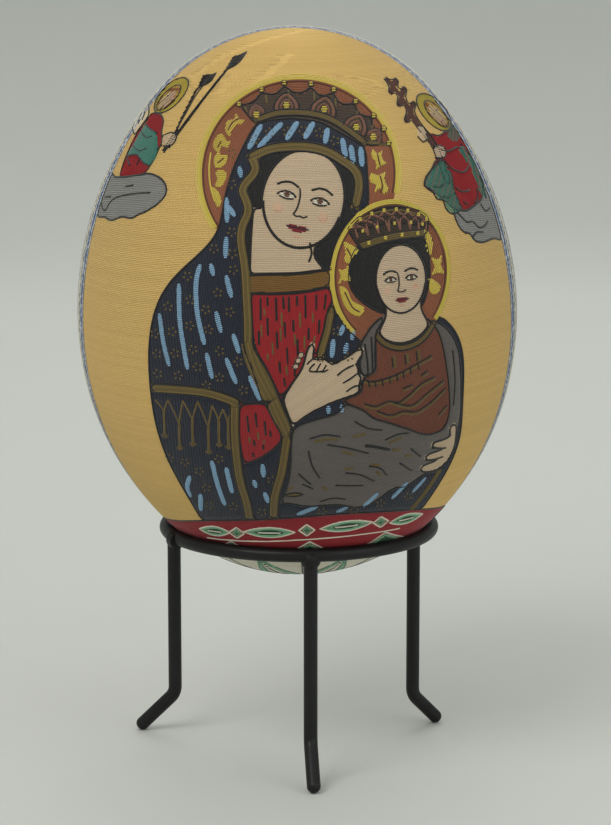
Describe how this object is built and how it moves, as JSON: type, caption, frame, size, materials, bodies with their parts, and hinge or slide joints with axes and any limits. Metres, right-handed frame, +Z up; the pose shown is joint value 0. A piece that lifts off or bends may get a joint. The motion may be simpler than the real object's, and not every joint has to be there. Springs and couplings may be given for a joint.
{
  "type": "decorated egg on a stand",
  "caption": "Large blown eggshell inlaid all over with coloured thread laid in wax as an icon of a mother and child, resting in a black wire ring stand with three legs.",
  "frame": {"origin": "on the floor, under the middle of the stand's ring", "axes": "+Z up, the icon faces -Y, +X to the right of someone who looks at the icon"},
  "size_m": [0.128, 0.128, 0.2137],
  "materials": {
    "black_bar": "satin black paint",
    "eggshell": "natural eggshell",
    "wax": "beeswax, matt",
    "ochre_thread": "cotton thread laid in rows",
    "navy_thread": "cotton thread laid in rows",
    "red_thread": "cotton thread laid in rows",
    "skin_thread": "cotton thread laid in rows",
    "black_thread": "cotton thread laid in rows",
    "maroon_thread": "cotton thread laid in rows",
    "rust_thread": "cotton thread laid in rows",
    "olive_thread": "gold-olive thread laid in rows",
    "brown_thread": "cotton thread laid in rows",
    "grey_thread": "cotton thread laid in rows",
    "yellow_thread": "cotton thread laid in rows",
    "cloud_thread": "cotton thread laid in rows",
    "blue_thread": "blue and white cotton thread",
    "white_thread": "cotton thread laid in ribs",
    "green_thread": "cotton thread laid in rows"
  },
  "bodies": {
    "stand": {"ring": "black_bar", "ring_seam_weld": "black_bar", "leg_front": "black_bar", "leg_left": "black_bar", "leg_right": "black_bar", "weld_front": "black_bar", "weld_left": "black_bar", "weld_right": "black_bar"},
    "egg": {"eggshell": "eggshell", "wax_coat": "wax", "blow_hole_plug": "wax", "icon_ground": "ochre_thread", "mother_mantle": "navy_thread", "mother_robe": "red_thread", "mother_face": "skin_thread", "mother_hair": "black_thread", "mother_hands": "skin_thread", "mother_crown": "maroon_thread", "mother_halo": "rust_thread", "gold_braid": "olive_thread", "child_face": "skin_thread", "child_hair": "black_thread", "child_crown": "maroon_thread", "child_halo": "rust_thread", "child_robe": "brown_thread", "child_wrap": "grey_thread", "angel_left": "red_thread", "angel_left_halo": "yellow_thread", "cloud_left": "cloud_thread", "angel_right": "red_thread", "angel_right_halo": "yellow_thread", "cloud_right": "cloud_thread", "cross": "brown_thread", "lances": "black_thread", "lower_border": "red_thread", "side_border": "blue_thread", "base_rosette": "white_thread", "back_field": "red_thread", "back_star": "green_thread"}
  },
  "joints": [
    {"name": "egg_lift", "type": "slide", "parent": "stand", "child": "egg", "axis": [0, 0, 1], "range_m": [0, 0.03]}
  ]
}
